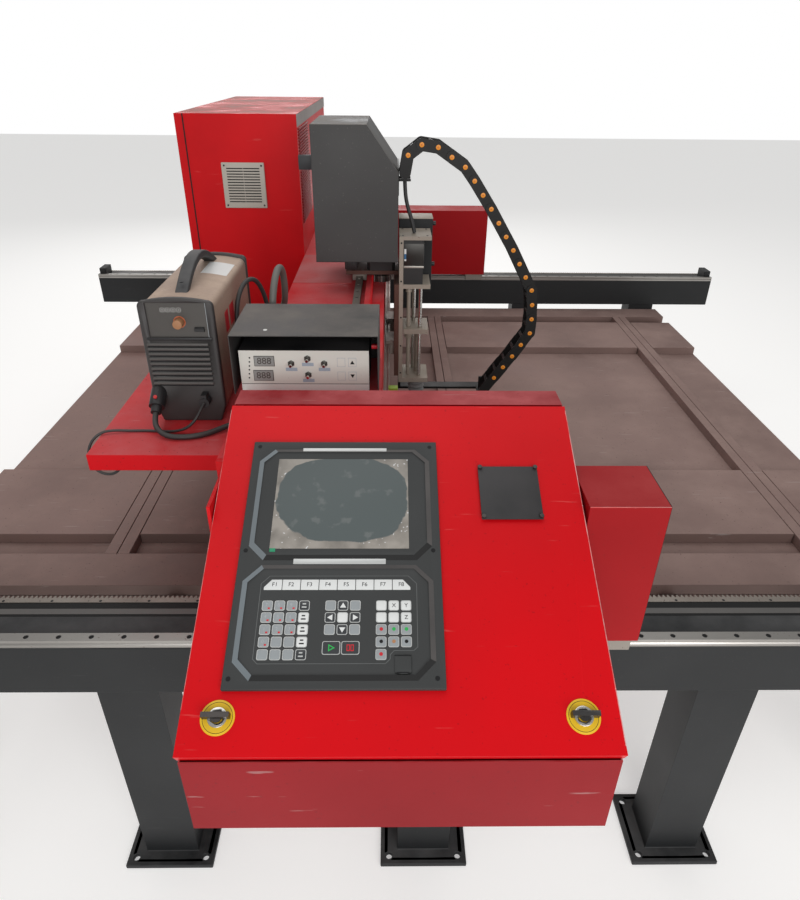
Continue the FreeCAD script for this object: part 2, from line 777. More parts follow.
seat(feature("bridge_rack", bridge_rack),
     ("bridge_rack_face", "bridge_end - bridge_rail_end", "bridge_top"), Rotation(Vector(0, 0, 1), -90))

# Shelf for the power source, folded from sheet and welded to the bridge's side
shelf_plate = box("shelf_plate", ("shelf_left", "shelf_front", "shelf_top - shelf_height"),
                  ("shelf_width", "shelf_depth", "shelf_height"))
shelf_room = box("shelf_room", ("shelf_left + sheet", "shelf_front + sheet", "shelf_top - shelf_height - 1"),
                 ("shelf_width - 2 * sheet", "shelf_depth - 2 * sheet", "shelf_height - sheet + 1"))
cut("shelf", shelf_plate, [shelf_room])

# Desk body, folded from sheet: low front box, step over the end carriage, top ledge
desk_low = "near_rail - desk_front"
step_y = "desk_front - desk_step"
back_y = "desk_front + desk_back"
step_z = "block_top + end_height - desk_bottom"
rise = "(door_height + door_length * sin(desk_angle * 1deg) - desk_bottom)"
ledge_y = "(door_length * cos(desk_angle * 1deg) + door_gap - door_overhang)"
slope_low = "desk_front_height"
desk = doc.addObject("PartDesign::Body", "desk_sheet")
desk_outer = outline(desk, "desk_outer", [
    (0, 0), (step_y, 0), (step_y, step_z), (back_y, step_z), (back_y, rise), (ledge_y, rise),
    (ledge_y, f"{rise} - door_lip"), ("sheet", slope_low), (0, slope_low)])
desk_inner = outline(desk, "desk_inner", [
    ("sheet", "sheet"), (f"{step_y} - sheet", "sheet"), (f"{step_y} - sheet", f"{step_z} + sheet"),
    (f"{back_y} - sheet", f"{step_z} + sheet"), (f"{back_y} - sheet", f"{rise} - sheet"),
    (f"{ledge_y} + sheet", f"{rise} - sheet"), (f"{ledge_y} + sheet", f"{rise} + 10"),
    (f"{ledge_y} - 60", f"{rise} + 10"), ("sheet", f"{slope_low} + 40")])
pad(desk, "desk_block", desk_outer, "desk_body_width", middle=True)
pocket(desk, "desk_room", desk_inner, "desk_body_width - 2 * sheet", middle=True)
seat(desk, ("desk_left + desk_width / 2", desk_low, "desk_bottom"))
doc.recompute()
volume_drops(desk, "desk_room")


def on_door(name, flat):
    """Turn pieces from the door's own flat frame into their sloping place."""
    thing = group(name, flat)
    thing.Placement = Placement(Vector(), Rotation(Vector(1, 0, 0), 25))
    bind(thing, "Placement.Rotation.Angle", "desk_angle * 1deg")
    for axis, formula in zip("xyz", ("desk_left", "door_front", "door_height")):
        bind(thing, f"Placement.Base.{axis}", formula)
    return thing


pins = on_door("desk_pins", [
    rod("desk_pin_left", (0, "pin_up", "-hinge_depth"),
        "hinge_pin", "sheet + door_side_gap + lug_length", "x"),
    rod("desk_pin_right", ("desk_width - sheet - door_side_gap - lug_length", "pin_up", "-hinge_depth"),
        "hinge_pin", "sheet + door_side_gap + lug_length", "x")])
keeper = on_door("desk_keeper", [
    box("desk_keeper_strip", ("2 * sheet + door_side_gap", "door_overhang + keeper_setback",
                              "-lock_tongue_drop + keeper_gap"),
        ("desk_body_width - 2 * sheet", "keeper_width", "keeper_thickness"))])
lugs = on_door("desk_lugs", [
    box(f"desk_lug_{side}", (u, "pin_up - lug_width / 2", "-hinge_depth - lug_height"),
        ("lug_length", "lug_width", "lug_height"))
    for side, u in (("left", "sheet + door_side_gap"),
                    ("right", "desk_width - sheet - door_side_gap - lug_length"))])
slot = on_door("desk_lid_slots", [
    box("desk_flange_room", (0, "-flange_gap", "-door_lip - flange_gap"),
        ("desk_width", "sheet + 2 * flange_gap", "door_lip + flange_gap")),
    box("desk_swing_room", (0, "door_length", "-hinge_depth - hinge_inset"),
        ("desk_width", "hinge_depth / 2 + 1.5 * flange_gap", "hinge_depth + hinge_inset"))])
notch = box("desk_notch", ("desk_left - 1", "near_rail + end_back - 2", "block_top + end_height - 1"),
            ("bridge_right - desk_left + 3", "desk_back", "bridge_top - block_top - end_height + 3"))
group("desk_body", [cut("desk_shell", fuse("desk_solid", [desk, pins, lugs]), [notch, slot]), keeper])

# Desk door: a folded lid with the cut-out for the control panel
lid = box("door_lid", (0, 0, "-door_lip"), ("desk_width", "door_length", "door_lip"))
lid_room = box("door_lid_room", ("sheet", "sheet", "-door_lip - 1"),
               ("desk_width - 2 * sheet", "door_length", "door_lip - sheet + 1"))
window = box("door_window", ("panel_left + panel_border", "panel_bottom + panel_border", "-door_lip"),
             ("panel_width - 2 * panel_border", "panel_length - 2 * panel_border", "door_lip + 2"))
lid_holes = [rod(f"door_lock_hole_{side}", (x, "lock_up", "-door_lip"),
                 "lock_shaft + 2 * running_clearance", "door_lip + 2")
             for side, x in (("left", "lock_side"), ("right", "desk_width - lock_side"))]
pin_hole = rod("door_pin_hole", (-1, "pin_up", "-hinge_depth"),
               "hinge_pin + 2 * running_clearance", "desk_width + 2", "x")
on_door("desk_door", [cut("door_lid_cut", lid, [lid_room, window, pin_hole] + lid_holes)])

# Control panel: a moulded frame with the display let into it
frame_block = box("panel_block", ("panel_left", "panel_bottom", 0),
                  ("panel_width", "panel_length", "panel_proud"))
screen_hole = box("panel_screen_hole",
                  ("panel_left + screen_left", "panel_bottom + screen_bottom", -1),
                  ("screen_width", "screen_length", "panel_proud + 2"))
screen = box("panel_screen", ("panel_left + screen_left + 0.2", "panel_bottom + screen_bottom + 0.2", 0),
             ("screen_width - 0.4", "screen_length - 0.4", "panel_proud - screen_recess"))
on_door("control_panel", [cut("panel_frame", frame_block, [screen_hole]), screen])
on_door("controller_box", [
    box("controller_case",
        ("panel_left + panel_border + 1", "panel_bottom + panel_border + 1", "-controller_depth"),
        ("panel_width - 2 * panel_border - 2", "controller_length", "controller_depth"))])


# Door locks: a winged head, a barrel through the lid and a tongue behind it
def door_lock(name, x):
    barrel = rod(name + "_barrel", (x, "lock_up", "-lock_tongue_drop"), "lock_shaft",
                 "lock_tongue_drop + lock_head_thickness")
    wing = box(name + "_wing", (f"{x} - lock_wing / 2", "lock_up - lock_wing_width / 2", 0.5),
               ("lock_wing", "lock_wing_width", "lock_wing_height"))
    tongue = box(name + "_tongue",
                 (f"{x} - lock_tongue_width / 2", "lock_up - lock_tongue_width / 2",
                  "-lock_tongue_drop - lock_tongue_thickness"),
                 ("lock_tongue", "lock_tongue_width", "lock_tongue_thickness"))
    return on_door(name, [fuse(name + "_solid", [barrel, wing, tongue])])


door_lock("lock_left", "lock_side")
door_lock("lock_right", "(desk_width - lock_side)")

# Electrical cabinet: a shell open on its left, a rim, hinge knuckles and a mounting plate
cab = box("cabinet_block", ("cabinet_left", "cabinet_front", "cabinet_bottom"),
          ("cabinet_width", "cabinet_depth", "cabinet_height"))
cab_room = box("cabinet_room", ("cabinet_left + sheet", "cabinet_front + sheet", "cabinet_bottom + sheet"),
               ("cabinet_width - 2 * sheet", "cabinet_depth - 2 * sheet", "cabinet_height - 2 * sheet"))
cab_mouth = box("cabinet_mouth",
                ("cabinet_left - 1", "cabinet_front + cabinet_rim", "cabinet_bottom + cabinet_rim"),
                ("sheet + 2", "cabinet_depth - 2 * cabinet_rim", "cabinet_height - 2 * cabinet_rim"))
cab_shell = cut("cabinet_shell", cab, [cab_room, cab_mouth])
knuckle_x, knuckle_y = "cabinet_left - cabinet_door / 2", "cabinet_back + knuckle_offset"
HINGES = (("low", "cabinet_bottom + knuckle_inset"),
          ("high", "cabinet_top - knuckle_inset - knuckle_length"))
cab_hinges = []
for side, z in HINGES:
    cab_hinges.append(rod(f"cabinet_knuckle_{side}", (knuckle_x, knuckle_y, z), "knuckle", "knuckle_length / 2"))
    cab_hinges.append(rod(f"cabinet_pin_{side}", (knuckle_x, knuckle_y, z), "hinge_pin",
                          "knuckle_length - 2"))
    cab_hinges.append(box(f"cabinet_tab_{side}", (f"{knuckle_x}", "cabinet_back", z),
                          ("cabinet_door / 2 + 30", "4", "knuckle_length / 2")))
fuse("cabinet_body", [cab_shell] + cab_hinges)

leaf = box("cabinet_leaf", ("cabinet_left - cabinet_door", "cabinet_front", "cabinet_bottom"),
           ("cabinet_door", "cabinet_depth", "cabinet_height"))
leaf_room = box("cabinet_leaf_room",
                ("cabinet_left - cabinet_door + sheet", "cabinet_front + sheet", "cabinet_bottom + sheet"),
                ("cabinet_door", "cabinet_depth - 2 * sheet", "cabinet_height - 2 * sheet"))
leaf_shell = cut("cabinet_leaf_shell", leaf, [leaf_room])
leaf_hinges = []
for side, z in HINGES:
    start = f"{z} + knuckle_length / 2 + 0.2"
    leaf_hinges.append(rod(f"leaf_knuckle_{side}", (knuckle_x, knuckle_y, start), "knuckle",
                           "knuckle_length / 2 - 0.2"))
    leaf_hinges.append(box(f"leaf_tab_{side}", ("cabinet_left - cabinet_door", "cabinet_back", start),
                           ("cabinet_door / 2", "4", "knuckle_length / 2 - 0.2")))
leaf_solid = fuse("cabinet_leaf_full", [leaf_shell] + leaf_hinges)
leaf_bores = [rod(f"leaf_bore_{side}", (knuckle_x, knuckle_y, z),
                  "hinge_pin + 2 * running_clearance", "knuckle_length + 1")
              for side, z in HINGES]
cut("cabinet_door_leaf", leaf_solid, leaf_bores).Label = "cabinet_door"

mount = box("drive_plate",
            ("bridge_left - sheet - mount_plate_gap", "cabinet_front + 60", "cabinet_bottom + 60"),
            ("3", "cabinet_depth - 120", "cabinet_height - 120"))
studs = [box(f"drive_stud_{i}", ("bridge_left - sheet - mount_plate_gap + 3",
                                 f"cabinet_front + {y}", f"cabinet_bottom + {z}"),
             ("mount_plate_gap - 3", "10", "10"))
         for i, (y, z) in enumerate((("70", "70"), ("cabinet_depth - 80", "70"),
                                     ("70", "cabinet_height - 80"),
                                     ("cabinet_depth - 80", "cabinet_height - 80")))]
drives = [box(f"drive_{i}",
              ("bridge_left - sheet - mount_plate_gap - drive_depth",
               f"cabinet_front + 130 + {i} * drive_spacing", "cabinet_bottom + 260"),
              ("drive_depth", "drive_width", "drive_height"))
          for i in range(int(size("drive_count")))]
supply = box("supply_unit", ("bridge_left - sheet - mount_plate_gap - 60", "cabinet_front + 130",
                             "cabinet_bottom + 100"), ("60", "240", "110"))
group("cabinet_drives", [fuse("drive_back", [mount] + studs), supply] + drives)

# Torch height controller under its hood
hood_block = box("hood_block", ("hood_left", "hood_front", "bridge_top"),
                 ("hood_width", "hood_depth", "hood_height"))
hood_room = box("hood_room", ("hood_left + sheet", "hood_front - 1", "bridge_top - 1"),
                ("hood_width - 2 * sheet", "hood_depth - sheet + 1", "hood_height - sheet + 1"))
cut("height_hood", hood_block, [hood_room])
case_block = box("height_case_block", ("height_box_west", "height_box_front", "bridge_top"),
                 ("height_box_width", "height_box_depth", "height_box_height"))
TOGGLES = (("left", "0", "0"), ("up", "toggle_pitch", "toggle_rise"),
           ("right", "2 * toggle_pitch", "0"), ("down", "toggle_pitch", "-toggle_drop"))
case_sockets = [rod(f"height_socket_{name}",
                    (f"height_box_west + toggle_left + {dx}", "height_box_front - 1",
                     f"bridge_top + toggle_up + {dz}"), "12", "16", "y")
                for name, dx, dz in TOGGLES]
cut("height_box", case_block, case_sockets)


def toggle(name, dx, dz):
    x, z = f"height_box_west + toggle_left + {dx}", f"bridge_top + toggle_up + {dz}"
    ball = doc.addObject("Part::Sphere", name + "_ball")
    bind(ball, "Radius", "3.5")
    seat(ball, (x, "height_box_front + 6", z))
    stem = rod(name + "_stem", (x, "height_box_front - toggle_length", z), "3.4", "toggle_length + 6", "y")
    tip = rod(name + "_tip", (x, "height_box_front - toggle_length - 3", z), "toggle_bore", "8", "y")
    foot = rod(name + "_foot", (x, "height_box_front + 6", z), "3", "8.4", "y")
    return fuse(name, [ball, stem, tip, foot])


for name, dx, dz in TOGGLES:
    toggle("toggle_" + name, dx, dz)

# Power source on the shelf: housing between two bezels, with its arched handle
house = box("source_house", ("source_left + 3", "source_front + bezel_depth", "shelf_top + 4"),
            ("source_width - 6", "source_depth - 2 * bezel_depth", "source_height - 12"))
bezels = [box(f"source_bezel_{side}", ("source_left", y, "shelf_top"),
              ("source_width", "bezel_depth", "source_height - 2"))
          for side, y in (("front", "source_front"), ("rear", "source_front + source_depth - bezel_depth"))]
knob_x, knob_z = "source_left + 83", "source_top - 52"
switch_x, switch_z = "source_left + 123", "source_top - 68"


def handle_shape():
    """A bar bent in an arch over the housing, flat feet down."""
    foot = size("source_top") - 12
    start = size("source_front") + size("handle_start")
    span, rise, thick = size("handle_span"), size("handle_rise") + 12, size("handle_thickness")
    left = size("source_left") + (size("source_width") - size("handle_width")) / 2
    spots = [Vector(left, start, foot), Vector(left, start + span / 2, foot + rise),
             Vector(left, start + span, foot), Vector(left, start + span - 1.6 * thick, foot),
             Vector(left, start + span / 2, foot + rise - thick), Vector(left, start + 1.6 * thick, foot)]
    edges = [Part.Arc(*spots[:3]).toShape(), Part.LineSegment(spots[2], spots[3]).toShape(),
             Part.Arc(*spots[3:]).toShape(), Part.LineSegment(spots[5], spots[0]).toShape()]
    return Part.Face(Part.Wire(edges)).extrude(Vector(size("handle_width"), 0, 0))


handle = feature("source_handle", handle_shape())
source_full = fuse("source_full", [house] + bezels)
source_cuts = [
    rod("source_knob_bore", (knob_x, "source_front - 1", knob_z), "6 + 2 * running_clearance", "13", "y"),
    box("source_switch_hole", (f"{switch_x} - switch_width / 2 - 0.3", "source_front - 1",
                               f"{switch_z} - switch_height / 2 - 0.3"),
        ("switch_width + 0.6", "12", "switch_height + 0.6")),
]
group("power_source", [cut("source_case", source_full, source_cuts + [handle]), handle])
knob_cap = rod("source_knob_cap", (knob_x, "source_front - knob_length - 0.3", knob_z),
               "knob_diameter", "knob_length", "y")
knob_stem = rod("source_knob_stem", (knob_x, "source_front - 1", knob_z), "6", "12", "y")
fuse("source_knob", [knob_cap, knob_stem])
rocker_body = rod("rocker_body", (f"{switch_x} - switch_width / 2 + 1", "source_front + 4", switch_z),
                  "switch_height - 1", "switch_width - 2", "x")
rocker_face = box("rocker_face", (f"{switch_x} - switch_width / 2 + 1", "source_front - 3",
                                  f"{switch_z} - switch_height / 2 + 3"),
                  ("switch_width - 2", "7", "switch_height - 6"))
fuse("source_switch", [rocker_body, rocker_face])

# Torch and work plugs on the power source's face
def on_plug(name, flat):
    """Tilt pieces built along -Y down out of the power source's face."""
    thing = group(name, flat)
    thing.Placement = Placement(Vector(), Rotation(Vector(1, 0, 0), 30))
    bind(thing, "Placement.Rotation.Angle", "plug_tilt * 1deg")
    for axis, formula in zip("xyz", ("source_left + plug_left", "source_front", "shelf_top + plug_up")):
        bind(thing, f"Placement.Base.{axis}", formula)
    return thing


plug_grip = rod("torch_plug_grip", (0, "-plug_length * 0.7", 0), "plug_diameter", "plug_length", "y")
plug_neck = rod("torch_plug_neck", (0, "-plug_length", 0), "plug_diameter * 0.65", "plug_length", "y")
plug_well = rod("torch_plug_well", (0, "-plug_length * 0.4", "plug_diameter / 2 - button_depth"),
                "button_diameter + 2 * running_clearance", "button_depth + 1")
plug_whole = on_plug("torch_plug_whole", [cut("torch_plug_solid", fuse("torch_plug_bar", [plug_grip, plug_neck]),
                                              [plug_well])])
plug_inside = box("torch_plug_inside", ("source_left - 50", "source_front", "shelf_top"),
                  ("source_width + 50", "plug_length", "source_height"))
work_x, work_z = "source_left + work_plug_left", "shelf_top + work_plug_up"
work_body = rod("work_plug_body", (work_x, "source_front - 26", work_z), "22", "26", "y")
work_tab = box("work_plug_tab", (f"{work_x} - 6", "source_front - 24", f"{work_z} + 8"), ("12", "22", "10"))
group("source_plugs", [cut("torch_plug", plug_whole, [plug_inside]), fuse("work_plug", [work_body, work_tab])])
on_plug("plug_button", [rod("plug_button_rod",
                            (0, "-plug_length * 0.4", "plug_diameter / 2 - button_depth + button_travel"),
                            "button_diameter", "button_depth + button_proud - button_travel")])

# Carriage: an L of plates on four blocks
deck = box("carriage_deck_plate", ("carriage_deck_left", "carriage_front + deck_setback", "carriage_deck"),
           ("side_plate_right - carriage_deck_left", "carriage_length - deck_setback", "carriage_top_plate"))
cheek = box("carriage_side", ("side_plate_left", "carriage_front", "bridge_top - carriage_drop"),
            ("carriage_side_plate", "carriage_length", "carriage_deck - bridge_top + carriage_drop"))
deck_hole = rod("carriage_deck_hole", ("bridge_gear_axis", "carriage_axis", "carriage_deck - 1"),
                "shaft + 6", "carriage_top_plate + 2")
cover_bottom = "(bridge_top + carriage_cover_gap)"
cover_left = "(side_plate_right - carriage_side_plate / 4 - carriage_cover_width)"
post = box("cover_post", ("carriage_deck_left", "carriage_front + carriage_length - sheet - post_thickness",
                          "carriage_deck"),
           ("post_width", "post_thickness", "carriage_cover_gap - block_height + post_lap"))
cut("carriage_plates", fuse("carriage_solid", [deck, cheek, post]), [deck_hole])
top_blocks = [guide_block(f"top_block_{side}",
                          ("top_rail_axis + block_width / 2",
                           f"carriage_axis + {offset} - block_length / 2",
                           "bridge_top + block_lift"), QUARTER)
              for side, offset in (("front", "top_block_offset"), ("rear", "carriage_block_offset"))]
side_blocks = [guide_block(f"side_block_{side}",
                           ("bridge_right + block_lift",
                            f"carriage_axis + {sign} * carriage_block_offset - block_length / 2",
                            "side_rail_axis - block_width / 2"), SIDEWAYS)
               for side, sign in (("front", -1), ("rear", 1))]
group("carriage_blocks", top_blocks + side_blocks)
drive_motor("carriage_motor", "bridge_gear_axis", "carriage_axis", "(carriage_deck + carriage_top_plate)")
bridge_pinion = feature("bridge_pinion", gear_shape(size("bridge_rack_height") - 1).fuse(
    Part.makeCylinder(size("shaft") / 2, size("shaft_length") + size("bridge_rack_height"))).removeSplitter())
seat(bridge_pinion, ("bridge_gear_axis", "carriage_axis", "bridge_top + 1"), Rotation(Vector(0, 0, 1), -90))

# Carriage cover: folded sheet with a chamfered shoulder, open underneath
hood = doc.addObject("PartDesign::Body", "carriage_hood")


def shoulder(wall, low):
    wide, tall = "carriage_cover_width", "carriage_cover_height"
    return [(wall, low), (f"{wide} - {wall}", low), (f"{wide} - {wall}", f"{tall} - carriage_chamfer_height"),
            (f"{wide} - carriage_chamfer_width", f"{tall} - {wall}"), (wall, f"{tall} - {wall}")]


hood_outer = outline(hood, "hood_outer", shoulder(0, 0), "XZ_Plane")
hood_inner = outline(hood, "hood_inner", shoulder("sheet", 0), "XZ_Plane")
pad(hood, "hood_block_pad", hood_outer, "carriage_length", middle=True)
pocket(hood, "hood_space", hood_inner, "carriage_length - 2 * sheet", middle=True)
seat(hood, (cover_left, "carriage_axis", cover_bottom))
hood.Label = "carriage_cover"
doc.recompute()
volume_drops(hood, "hood_space")

# Torch lifter: back plate and three shelves, rods, screw and motor
shelves = [("top", "lifter_top - lifter_top_plate", "lifter_top_plate"),
           ("mount", "lifter_mount_top - lifter_mount_plate", "lifter_mount_plate"),
           ("bottom", "lifter_bottom", "lifter_bottom_plate")]
lifter_parts = [box("lifter_back", ("lifter_left", "carriage_front", "lifter_bottom"),
                    ("lifter_back_plate", "lifter_width", "lifter_top - lifter_bottom"))]
lifter_parts += [box(f"lifter_shelf_{name}", ("lifter_face", "carriage_front", z),
                     ("lifter_reach", "lifter_width", thick)) for name, z, thick in shelves]
near_rod = ("lifter_face + near_rod_across", "carriage_front + near_rod_along")
far_rod = ("lifter_face + far_rod_across", "carriage_front + far_rod_along")
lifter_holes = [
    rod("lifter_screw_hole", ("screw_x", "screw_y", "lifter_mount_top - lifter_mount_plate - 1"),
        "screw_diameter + 2 * running_clearance", "lifter_mount_plate + 2"),
    rod("lifter_screw_seat", ("screw_x", "screw_y", "lifter_bottom + lifter_bottom_plate / 2"),
        "screw_diameter + 2 * running_clearance", "lifter_bottom_plate"),
    rod("lifter_push_hole", ("push_x", "push_y", "lifter_bottom - 1"),
        "push_diameter + 2 * running_clearance", "lifter_bottom_plate + 2"),
]
lifter_plain = cut("lifter_face", fuse("lifter_solid", lifter_parts), lifter_holes)
rod_base = "lifter_bottom + lifter_bottom_plate"
rod_length = "lifter_mount_top - lifter_mount_plate - lifter_bottom - lifter_bottom_plate"
group("lifter_frame", [lifter_plain, rod("lifter_rod_near", near_rod + (rod_base,), "rod_diameter", rod_length),
                       rod("lifter_rod_far", far_rod + (rod_base,), "rod_diameter", rod_length)])
motor_x = "lifter_face + 1"
motor_y = "carriage_front + 6"
motor_z = "lifter_top - lifter_top_plate - lift_motor_length"
gear_case_top = f"{motor_z} - lift_flange"
lift_motor = box("lift_motor_block", (motor_x, motor_y, motor_z),
                 ("lift_motor_size", "lift_motor_size", "lift_motor_length"))
lift_plate = box("lift_motor_flange", (motor_x, motor_y, gear_case_top),
                 ("lift_motor_size + 2", "lift_motor_size + 2", "lift_flange"))
gear_case = box("lift_gear_case", (motor_x, motor_y, "lifter_mount_top"),
                ("lift_motor_size", "lift_motor_size", f"{gear_case_top} - lifter_mount_top"))
gear_bore = rod("lift_gear_bore", ("screw_x", "screw_y", "lifter_mount_top - 1"),
                "screw_diameter + 2 * running_clearance", "21")
cut("lift_motor", fuse("lift_motor_solid", [lift_motor, lift_plate, gear_case]), [gear_bore])
screw = rod("lift_screw_bar", ("screw_x", "screw_y", "lifter_bottom + lifter_bottom_plate / 2 + 0.2"),
            "screw_diameter", "lifter_mount_top + 18 - lifter_bottom - lifter_bottom_plate / 2 - 0.2")
coupling = rod("lift_coupling",
               ("screw_x", "screw_y",
                "lifter_mount_top - lifter_mount_plate - coupling_length - 0.5"),
               "coupling_diameter", "coupling_length")
fuse("lift_screw", [screw, coupling])

# Slide: the plate that the screw drives, its push tube and the torch arm
slide_plate = box("slide_plate", ("lifter_face + 2", "carriage_front + 2", "slide_bottom"),
                  ("lifter_reach - 4", "lifter_width - 4", "slide_thickness"))
nut = rod("slide_nut", ("screw_x", "screw_y", "slide_bottom - 20"), "24", "20")
push = rod("slide_push", ("push_x", "push_y", "arm_top - arm_thickness"), "push_diameter",
           "slide_bottom - arm_top + arm_thickness")
arm = box("slide_arm", ("push_x - arm_width / 2", "torch_y - torch_diameter / 2 - 10", "arm_top - arm_thickness"),
          ("arm_width", "torch_offset + torch_diameter / 2 + 30", "arm_thickness"))
slide_solid = fuse("slide_solid", [slide_plate, nut, push, arm])
slide_bores = [
    rod("slide_screw_bore", ("screw_x", "screw_y", "slide_bottom - 21"),
        "screw_diameter + 2 * running_clearance", "slide_thickness + 22"),
    rod("slide_near_bore", near_rod + ("slide_bottom - 1",),
        "rod_diameter + 2 * running_clearance", "slide_thickness + 2"),
    rod("slide_far_bore", far_rod + ("slide_bottom - 1",),
        "rod_diameter + 2 * running_clearance", "slide_thickness + 2"),
    rod("slide_torch_bore", ("push_x", "torch_y", "arm_top - arm_thickness - 1"),
        "torch_diameter", "arm_thickness + 2"),
]
cut("torch_slide", slide_solid, slide_bores)

# Plasma torch clamped in the arm: body, shield cup and nozzle
torch_bottom = "torch_top - torch_length"
torch_body = rod("torch_body", ("push_x", "torch_y", f"{torch_bottom} + 22"), "torch_diameter",
                 "torch_length - 22")
cup = doc.addObject("Part::Cone", "torch_cup")
bind(cup, "Radius1", "9")
bind(cup, "Radius2", "torch_diameter / 2 - 2")
bind(cup, "Height", "22")
seat(cup, ("push_x", "torch_y", torch_bottom))
nozzle = rod("torch_nozzle_bore", ("push_x", "torch_y", f"{torch_bottom} - 1"), "1.5", "12")
cut("torch", fuse("torch_solid", [torch_body, cup]), [nozzle])


# Ribbed bellows round the push tube, under the lifter's bottom plate
def bellows_shape():
    """Ruled rings between crests and roots, with a bore round the push tube."""
    top, bottom = size("lifter_bottom"), size("arm_top")
    count = int(size("bellows_ribs"))
    crest, root = size("bellows_diameter") / 2, size("bellows_neck") / 2
    bore = size("push_diameter") / 2 + 3
    step = (top - bottom) / count
    solid = None
    for i in range(count):
        low = bottom + i * step
        heights = (low, low + step * 0.3, low + step * 0.7, low + step)
        rings = [Part.Wire(Part.makeCircle(radius, Vector(0, 0, height)))
                 for radius, height in zip((root, crest, crest, root), heights)]
        rib = Part.makeLoft(rings, True, True)
        solid = rib if solid is None else solid.fuse(rib)
    hole = Part.makeCylinder(bore, top - bottom + 2, Vector(0, 0, bottom - 1))
    return solid.cut(hole)


seat(feature("torch_bellows", bellows_shape()), ("push_x", "push_y", "0"))

# Drag chain: headings in degrees and how many links follow each
CHAIN_RUN = ((80, 1), (36, 1), (-8, 1), (-33, 2), (-52, 1), (-55, 2), (-57.5, 3), (-60.8, 3), (-82, 1),
             (-86, 1), (-91, 1), (-122, 2), (-124.7, 3))


def stadium(start, end, radius, y, thickness):
    """A link plate: two round ends joined by straight sides, in the XZ plane."""
    along = (end - start).normalize()
    side = Vector(along.z, 0, -along.x) * radius
    edges = [Part.LineSegment(start + side, end + side).toShape(),
             Part.Arc(end + side, end + along * radius, end - side).toShape(),
             Part.LineSegment(end - side, start - side).toShape(),
             Part.Arc(start - side, start - along * radius, start + side).toShape()]
    face = Part.Face(Part.Wire(edges))
    face.translate(Vector(0, y, 0))
    return face.extrude(Vector(0, thickness, 0))


def chain_pins():
    lead_in = math.radians(CHAIN_RUN[0][0])
    pins = [Vector(size("lifter_left") + size("chain_across") - size("chain_pitch") * math.cos(lead_in), 0,
                   size("chain_top") - size("chain_pitch") * math.sin(lead_in))]
    for heading, count in CHAIN_RUN:
        turn = math.radians(heading)
        for _ in range(count):
            pins.append(pins[-1] + Vector(math.cos(turn), 0, math.sin(turn)) * size("chain_pitch"))
    return pins


def chain_links():
    half, plate = size("chain_width") / 2, size("chain_plate")
    radius = size("chain_height") / 2
    plane = size("carriage_axis") - size("chain_plane")
    pins = chain_pins()
    links = []
    for i in range(len(pins) - 1):
        inset = 0 if i % 2 == 0 else plate + 0.3
        start, end = pins[i], pins[i + 1]
        plates = [stadium(start, end, radius, plane - half + inset, plate),
                  stadium(start, end, radius, plane + half - inset - plate, plate)]
        middle = (start + end) * 0.5
        along = (end - start).normalize()
        inner = half - inset - plate / 2
        bars = []
        for side in (-1, 1):
            bar = Part.makeBox(9, 2 * inner, 3, Vector(-4.5, -inner, side * (radius - 3.2) - 1.5))
            bar.rotate(Vector(), Vector(0, 1, 0), -math.degrees(math.atan2(along.z, along.x)))
            bar.translate(middle + Vector(0, plane, 0))
            bars.append(bar)
        links.append(plates[0].multiFuse([plates[1]] + bars).removeSplitter())
    return Part.makeCompound(links)


feature("drag_chain", chain_links())

# Brackets that hold the chain's two ends, and the box behind the lifter
for name, pin in (("chain_start", chain_pins()[0]), ("chain_end", chain_pins()[-1])):
    for axis, value in (("x", pin.x), ("z", pin.z)):
        places.addProperty("App::PropertyFloat", f"{name}_{axis}")
        setattr(places, f"{name}_{axis}", value)
        OWNER[f"{name}_{axis}"] = "Place"
box("back_box", ("lifter_left", "carriage_front + lifter_width + back_box_gap", "lifter_top - back_box_drop"),
    ("lifter_reach + lifter_back_plate + 9", "back_box_depth", "back_box_drop + 24"))
arm_front = "(carriage_front + lifter_width + back_box_gap)"
drop_bar = box("chain_drop_bar", ("side_plate_right", arm_front, "chain_end_z - 50"),
               ("arm_bar_thickness", "arm_bar", "bridge_top - carriage_drop + 50 - chain_end_z + 50"))
cross_bar = box("chain_cross_bar", ("side_plate_right", arm_front, "chain_end_z - 50"),
                ("chain_end_x + 16 - side_plate_right", "arm_bar", "arm_bar_thickness"))
lug_front = "(carriage_axis - chain_plane + chain_width / 2 - chain_plate - 0.3)"
lug_foot = box("chain_lug_foot", ("chain_end_x - 16", lug_front, "chain_end_z - 50"),
               ("32", f"{arm_front} - {lug_front} + 1", "arm_bar_thickness"))
lug = box("chain_lug", ("chain_end_x - 16", lug_front, "chain_end_z - 50"),
          ("32", "arm_bar_thickness", "66"))
clip_plate = box("chain_clip_plate", (f"{cover_left} + carriage_cover_width",
                                      "carriage_axis - chain_plane - chain_width / 2",
                                      "chain_start_z - 60"),
                 ("1.5", "chain_width", "90"))
clip_feet = [box(f"chain_clip_foot_{side}",
                 (f"{cover_left} + carriage_cover_width", y, "chain_start_z - chain_height / 2 - 6"),
                 ("34", "8", "6"))
             for side, y in (("front", "carriage_axis - chain_plane - chain_width / 2"),
                             ("rear", "carriage_axis - chain_plane + chain_width / 2 - 8"))]
group("chain_brackets", [fuse("chain_arm", [drop_bar, cross_bar, lug_foot, lug]),
                         fuse("chain_clip", [clip_plate] + clip_feet)])
doc.recompute()


